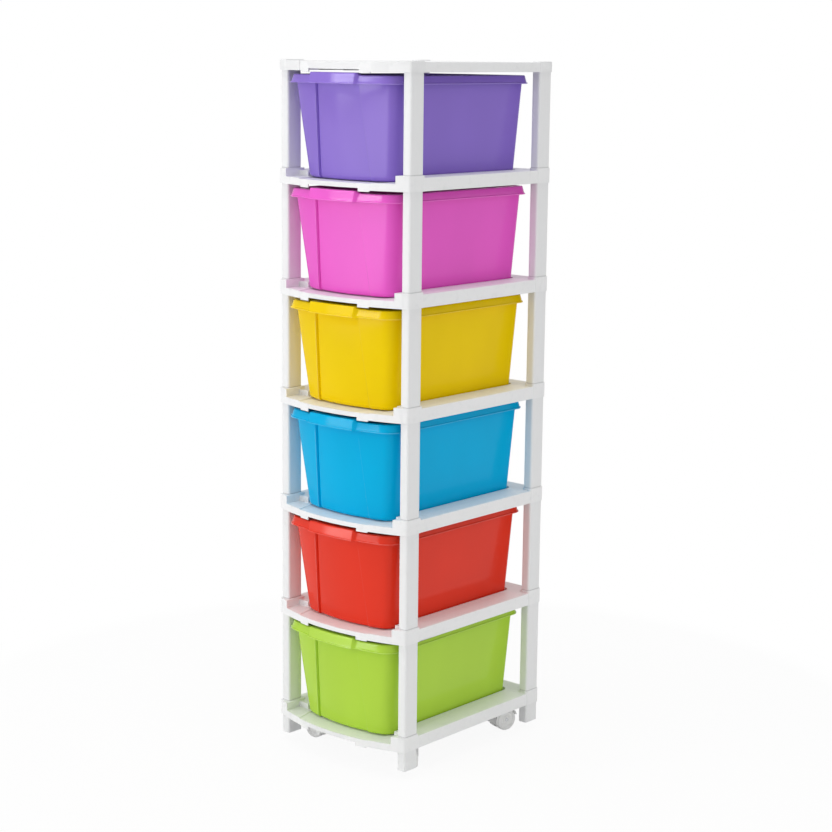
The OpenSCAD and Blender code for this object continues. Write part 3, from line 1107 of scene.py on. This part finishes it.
    def rim(self) -> list[Level]:
        """Goes round the rim skirt, from its hidden inner face over the top.

        Returns:
            The levels on the way.
        """
        top, reach = self.height, -self.handle_reach
        inner_face = self.rim_top_flare - self.skirt_wall
        levels = [self.handled(top - self.skirt_inner_root, inner_face, reach)]
        for rise, out in self.skirt_profile:
            levels.append(self.handled(self.rim_foot + rise, self.rim_flare + out, reach))
        foot = levels[-1]
        for share in self.skirt_shares:
            z = foot.z + (top - self.rim_round - foot.z) * share
            grow = foot.grow + (self.rim_top_flare - foot.grow) * share
            levels.append(self.handled(z, grow, reach, self.handle_lift * share))
        for turn in np.linspace(0.0, QUARTER_TURN, self.rim_steps + 1):
            z = top - self.rim_round * (1 - math.sin(turn))
            grow = self.rim_top_flare - self.rim_round * (1 - math.cos(turn))
            levels.append(self.handled(z, grow, reach, self.handle_lift))
        return levels

    def inside(self) -> list[Level]:
        """Goes from the rim down the inner wall to the floor.

        Returns:
            The levels on the way.
        """
        top, skin = self.height, -self.wall
        levels = [
            self.handled(top - depth, skin + thinner, lift=self.handle_lift)
            for depth, thinner in self.lip_profile
        ]
        levels.append(self.handled(top - self.handle_root, skin))
        levels.append(self.panelled(self.rim_foot, skin, 1.0))
        for share in after(1.0, 0.0, self.inner_steps):
            z = self.floor_round_top + (self.rim_foot - self.floor_round_top) * share
            levels.append(self.panelled(z, skin, share))
        for turn in after(QUARTER_TURN, 0.0, self.floor_steps):
            z = self.floor + (self.floor_round_top - self.floor) * (1 - math.cos(turn))
            levels.append(self.panelled(z, skin - self.floor_round * (1 - math.sin(turn)), 0.0))
        return levels

    def mesh(self) -> bpy.types.Mesh:
        """Lofts the drawer through all its levels.

        Returns:
            The closed mesh, in metres in the tower's frame.
        """
        rings = [self.ring(level) for level in self.outside() + self.rim() + self.inside()]
        count, last = len(rings[0]), (len(rings) - 1) * len(rings[0])
        points = np.concatenate(rings)
        points[:, 1] += self.centre_shift
        points[:, 2] += self.first_level + (self.tier - 1) * self.tier_pitch + self.seat
        faces: list[tuple[int, ...]] = []
        for base in range(0, last, count):
            for i in range(count):
                j = (i + 1) % count
                faces.append((base + i, base + j, base + count + j, base + count + i))
        faces.append(tuple(range(count - 1, -1, -1)))
        faces.append(tuple(range(last, last + count)))
        made = bpy.data.meshes.new(f"moulded_drawer_{self.tier}")
        made.from_pydata((points * MM).tolist(), [], faces)
        made.validate()
        made.shade_smooth()
        made.set_sharp_from_angle(angle=math.radians(self.sharp_angle))
        return made

    def finish(self) -> MouldedPlastic:
        """Gives the drawer's plastic its colour and gloss.

        Returns:
            The finish.
        """
        return MouldedPlastic(
            f"{self.shade.name.lower()}_drawer_plastic", self.shade.value, roughness=0.12,
            deep_share=0.95, edge_highlight_share=0.42, edge_highlight_strength=0.55, spread=0.04, bump=0.03,
            specular=self.shade.sheen,
        )

    def build(self) -> bpy.types.Object:
        """Makes the drawer, which stands for its CAD node and rides on its body.

        Returns:
            The drawer.
        """
        piece = add_object(f"moulded_drawer_{self.tier}", self.mesh())
        piece.data.materials.append(self.finish().material())
        even_light(piece, keep_sharp=True)
        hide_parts(f"drawer_{self.tier}")
        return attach(piece, f"drawer_body_{self.tier}")


@dataclass
class DrawerSet:
    """The six drawers, from the lowest tier up."""

    shades: tuple[Shade, ...] = (
        Shade.LIME, Shade.RED, Shade.BLUE, Shade.YELLOW, Shade.PINK, Shade.PURPLE
    )

    def build(self) -> list[bpy.types.Object]:
        """Makes all the drawers.

        Returns:
            The drawers.
        """
        return [
            Drawer(tier, shade, f"{shade.name.lower()}_plastic").build()
            for tier, shade in enumerate(self.shades, start=1)
        ]


# ------------------------------------------------------------------------- studio


@dataclass(frozen=True)
class Softbox:
    """A large soft lamp that is aimed at a point.

    Attributes:
        name: Its name.
        place: Where it stands, in metres.
        aim: The point that it faces.
        width: Its width.
        height: Its height.
        watts: Its power.
        mirrored: Whether glossy surfaces show it.
        lighting: Whether it lights surfaces directly.
        sweep: Where its light starts, peaks and ends, as shares of its width.
    """

    name: str
    place: Place
    aim: Place
    width: float
    height: float
    watts: float
    mirrored: bool = True
    lighting: bool = True
    sweep: tuple[float, ...] = ()

    def shade_sweep(self, lamp: bpy.types.Light) -> None:
        """Lets the light rise and fall across the lamp's width.

        Args:
            lamp: The lamp.
        """
        sheet = NodeSheet.cleared(lamp)
        across = sheet.along(sheet.add("ShaderNodeNewGeometry").outputs["Parametric"], "X")
        start, peak, end = self.sweep
        rise, fall = (sheet.remap(across, dark, peak) for dark in (start, end))
        glow = sheet.add("ShaderNodeEmission")
        sheet.join(sheet.math("MULTIPLY", rise, fall), glow.inputs["Strength"])
        sheet.show(glow.outputs[0], "ShaderNodeOutputLight")

    def build(self) -> bpy.types.Object:
        """Makes the lamp.

        Returns:
            The lamp.
        """
        lamp = bpy.data.lights.new(self.name, "AREA")
        lamp.shape = "RECTANGLE"
        lamp.size, lamp.size_y, lamp.energy = self.width, self.height, self.watts
        if self.sweep:
            self.shade_sweep(lamp)
        made = add_object(self.name, lamp)
        made.location = self.place
        made.visible_glossy, made.visible_diffuse = self.mirrored, self.lighting
        direction = Vector(self.aim) - Vector(self.place)
        made.rotation_euler = direction.to_track_quat("-Z", "Y").to_euler()
        return made


@dataclass(frozen=True)
class Studio:
    """Camera, pale floor, white surroundings and soft lamps. Lengths are in metres."""

    camera_place: Place = (1.9685, -2.2140, 1.0947)
    azimuth: float = 41.386
    elevation: float = 10.818
    roll: float = 0.617
    lens: float = 82.768
    sensor: float = 36.0
    clip: Pair = (0.05, 100.0)
    surround_level: float = 0.66
    floor_tone: Colour = (0.93, 0.93, 0.93, 1.0)
    floor_glow: float = 0.92
    floor_size: float = 30.0
    shadow_room: Pair = (0.35, 0.875)
    lamps: tuple[Softbox, ...] = (
        Softbox(
            "front_softbox", (-1.62, -2.69, 1.45), (0.0, -0.17, 0.75), 1.00, 0.95, 12.0,
            mirrored=False,
        ),
        Softbox(
            "low_front_softbox", (-1.30, -3.20, 0.85), (0.0, 0.0, 0.60), 2.20, 1.40, 16.0,
            mirrored=False,
        ),
        Softbox(
            "low_right_softbox", (1.55, 0.05, 0.25), (0.0, 0.05, 0.20), 0.90, 0.50, 1.2,
            mirrored=False,
        ),
        Softbox(
            "high_card", (-1.43, -2.81, 2.29), (0.0, -0.17, 2.00), 1.78, 1.02, 72.0,
            lighting=False,
        ),
        Softbox(
            "middle_card", (-1.43, -2.81, 1.45), (0.0, -0.17, 1.30), 1.78, 0.66, 12.0,
            lighting=False,
        ),
        Softbox(
            "low_card", (-1.43, -2.81, 0.79), (0.0, -0.17, 0.78), 1.78, 0.66, 27.0,
            lighting=False,
        ),
        Softbox(
            "floor_card", (-0.68, -2.05, 0.28), (0.0, -0.17, 0.28), 4.80, 0.56, 36.0,
            lighting=False, sweep=(0.0, 0.72, 1.0),
        ),
        Softbox("top_softbox", (0.20, -0.50, 2.90), (0.0, 0.0, 0.90), 1.40, 1.40, 17.5),
    )

    def camera(self) -> None:
        """Makes the scene's camera."""
        data = bpy.data.cameras.new("camera")
        data.lens, data.sensor_width, data.sensor_fit = self.lens, self.sensor, "HORIZONTAL"
        data.clip_start, data.clip_end = self.clip
        made = add_object("camera", data)
        made.matrix_world = (
            Matrix.Translation(self.camera_place)
            @ Matrix.Rotation(math.radians(self.azimuth), 4, "Z")
            @ Matrix.Rotation(math.radians(90.0 - self.elevation), 4, "X")
            @ Matrix.Rotation(math.radians(self.roll), 4, "Z")
        )
        bpy.context.scene.camera = made

    @staticmethod
    def seen_mask(sheet: NodeSheet) -> bpy.types.NodeSocket:
        """Makes a mask of the rays that see the surroundings as they look.

        Args:
            sheet: The node tree that it is made in.

        Returns:
            A socket that is 1 for camera, glossy and transmission rays.
        """
        rays = sheet.add("ShaderNodeLightPath").outputs
        seen = sheet.math("MAXIMUM", rays["Is Camera Ray"], rays["Is Glossy Ray"])
        return sheet.math("MAXIMUM", seen, rays["Is Transmission Ray"])

    def surroundings(self) -> None:
        """Makes a world that looks white and lights the tower at a plain level."""
        world = bpy.data.worlds.new("white_surroundings")
        sheet = NodeSheet.cleared(world)
        light, look = sheet.add("ShaderNodeBackground"), sheet.add("ShaderNodeBackground")
        for shader, strength in ((light, self.surround_level), (look, 1.0)):
            shader.inputs["Color"].default_value = PURE_WHITE
            shader.inputs["Strength"].default_value = strength
        mixed = sheet.blend(self.seen_mask(sheet), light.outputs[0], look.outputs[0])
        sheet.show(mixed, "ShaderNodeOutputWorld")
        bpy.context.scene.world = world

    def floor_material(self) -> bpy.types.Material:
        """Makes a pale floor that looks nearly white and still takes a shadow.

        Returns:
            The floor's material.
        """
        made = bpy.data.materials.new("pale_floor")
        sheet = NodeSheet.cleared(made)
        matt, glow = sheet.add("ShaderNodeBsdfDiffuse"), sheet.add("ShaderNodeEmission")
        matt.inputs["Color"].default_value = self.floor_tone
        glow.inputs["Strength"].default_value = 1.0
        far = sheet.add("ShaderNodeVectorMath", operation="LENGTH")
        sheet.join(sheet.place(), far.inputs[0])
        fade = sheet.remap(far.outputs["Value"], *self.shadow_room)
        share = sheet.math("MAXIMUM", fade, self.floor_glow)
        mask = sheet.math("MULTIPLY", self.seen_mask(sheet), share)
        sheet.show(sheet.blend(mask, matt.outputs[0], glow.outputs[0]))
        return made

    def floor(self) -> None:
        """Makes the floor that the tower stands on."""
        half = self.floor_size / 2
        data = bpy.data.meshes.new("floor")
        corners = [(-half, -half, 0.0), (half, -half, 0.0), (half, half, 0.0), (-half, half, 0.0)]
        data.from_pydata(corners, [], [(0, 1, 2, 3)])
        data.materials.append(self.floor_material())
        made = add_object("floor", data)

    def build(self) -> None:
        """Makes the whole studio."""
        bpy.context.scene.view_settings.view_transform = "Standard"
        self.camera()
        self.surroundings()
        self.floor()
        for lamp in self.lamps:
            lamp.build()


def main() -> None:
    """Builds the tower's looks and the studio around it."""
    logging.basicConfig(level=logging.INFO, format="%(name)s: %(message)s")
    Studio().build()
    for builder in (WhiteFrame(), Castors(), DrawerSet()):
        for piece in builder.build():
            LOG.info("%s: %s", type(builder).__name__, piece.name)


if __name__ == "__main__":
    main()
